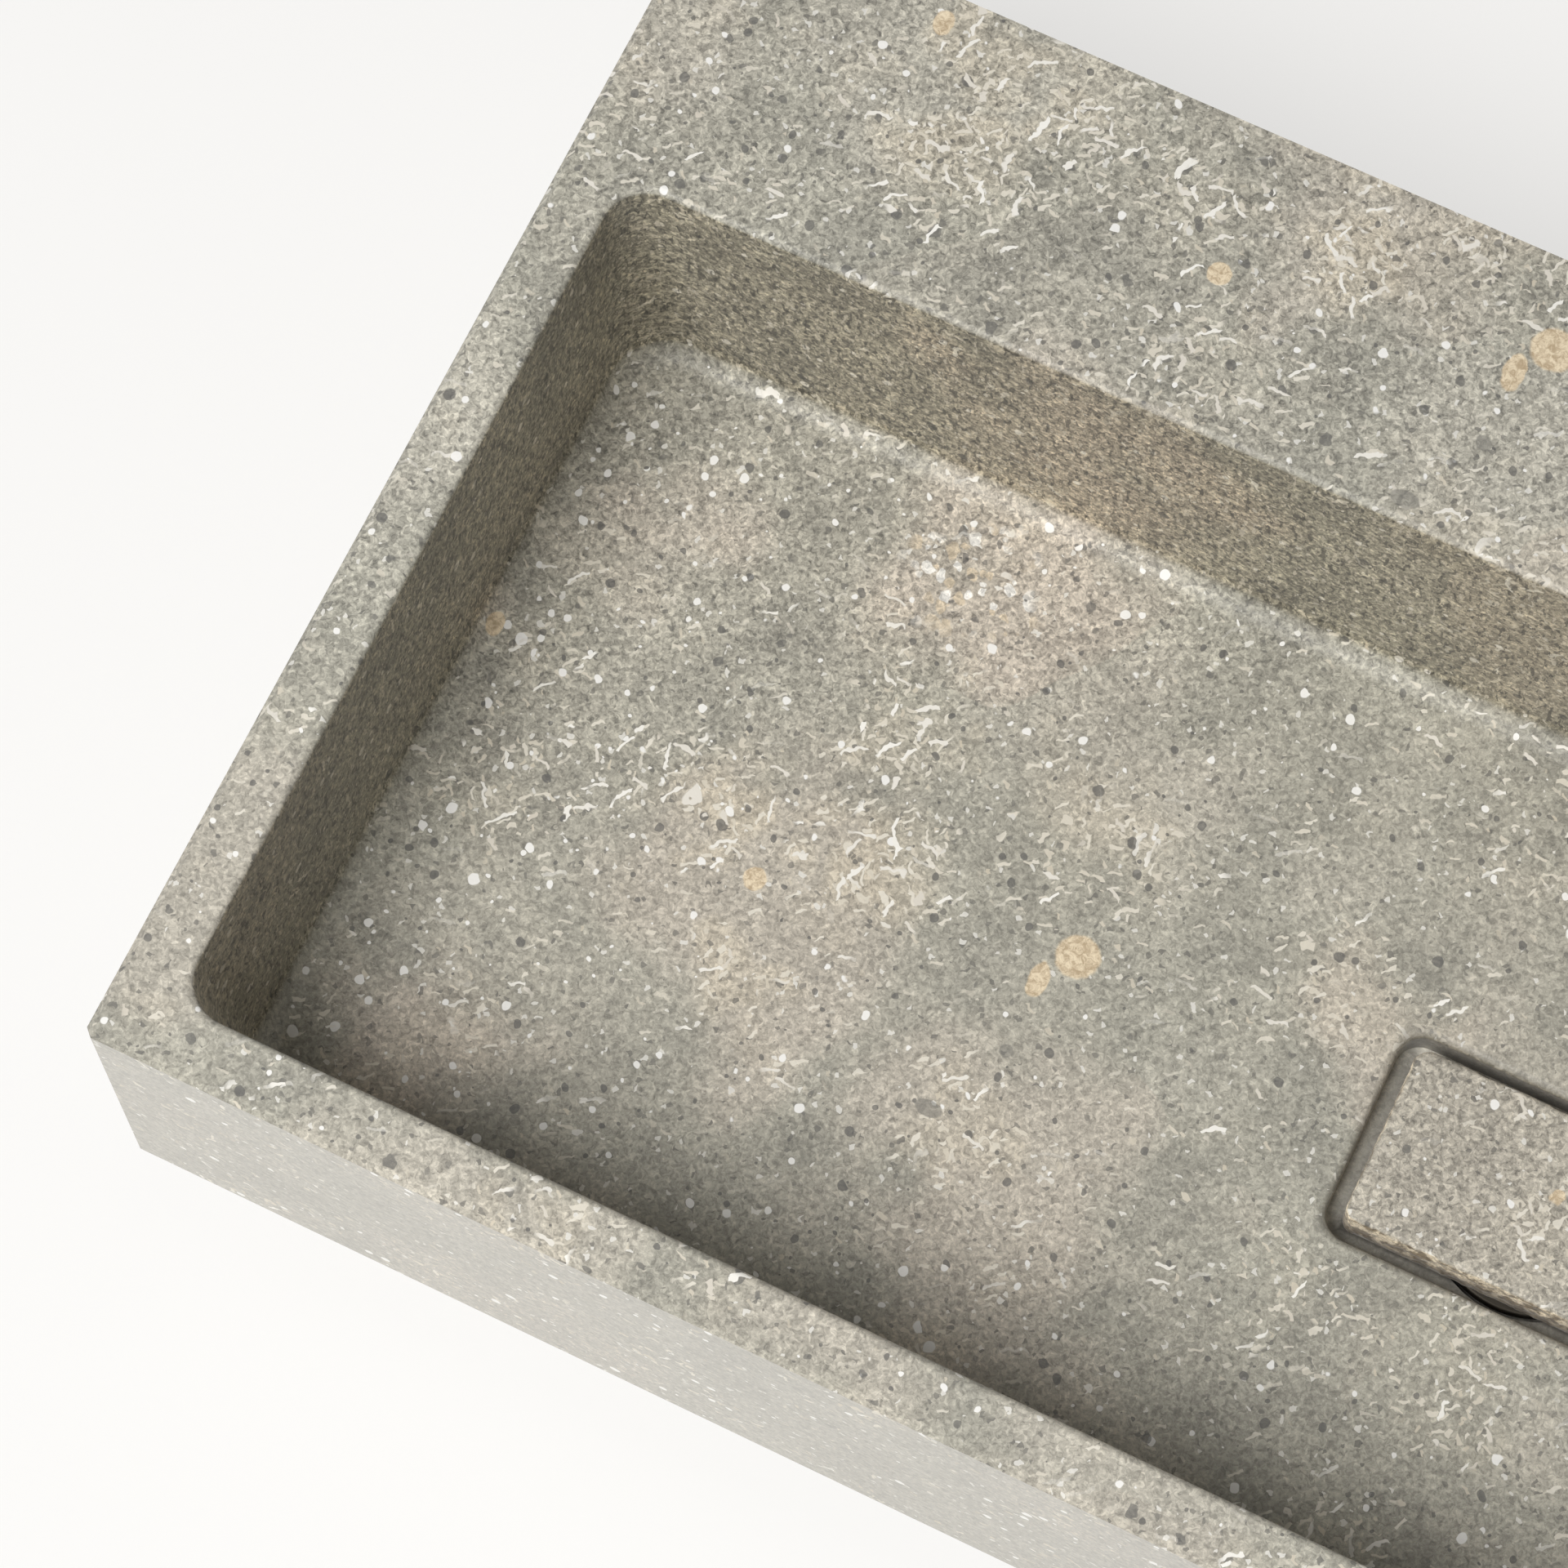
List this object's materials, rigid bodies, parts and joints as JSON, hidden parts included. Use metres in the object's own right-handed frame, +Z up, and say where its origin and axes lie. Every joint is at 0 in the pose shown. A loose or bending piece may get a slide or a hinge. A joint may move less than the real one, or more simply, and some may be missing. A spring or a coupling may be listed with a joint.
{
  "type": "washbasin",
  "caption": "Rectangular wall-hung stone washbasin with a deep steep-sided bowl, a wide rear ledge and a lift-out stone cover over its free-flow waste.",
  "frame": {"origin": "middle of the two wall bolts, on the basin's back face", "axes": "+X to the right along the basin, +Y from the basin into the wall, +Z up; the basin's front faces -Y"},
  "size_m": [0.8, 0.41, 0.186],
  "materials": {
    "stone": "honed grey fossil-bearing conglomerate with pale shell slivers and dark specks",
    "stone_cover": "honed offcut of the same stone, a little warmer",
    "silicone": "translucent grey silicone",
    "chromed_brass": "bright chrome plate on brass",
    "stainless": "satin stainless steel",
    "seal_rubber": "matt black rubber",
    "nylon": "natural off-white nylon"
  },
  "bodies": {
    "basin": {"basin_body": "stone", "waste_body": "chromed_brass", "waste_grid": "stainless", "grid_screw": "stainless", "flange_seal": "seal_rubber", "under_seal": "seal_rubber", "slip_washer": "nylon", "back_nut": "chromed_brass", "wall_sleeve_left": "nylon", "wall_sleeve_right": "nylon"},
    "cover": {"drain_cover": "stone_cover", "cover_pad_front_left": "silicone", "cover_pad_front_right": "silicone", "cover_pad_back_left": "silicone", "cover_pad_back_right": "silicone"}
  },
  "joints": [
    {"name": "cover_lift", "type": "slide", "parent": "basin", "child": "cover", "axis": [0, 0, 1], "range_m": [0, 0.12]}
  ]
}
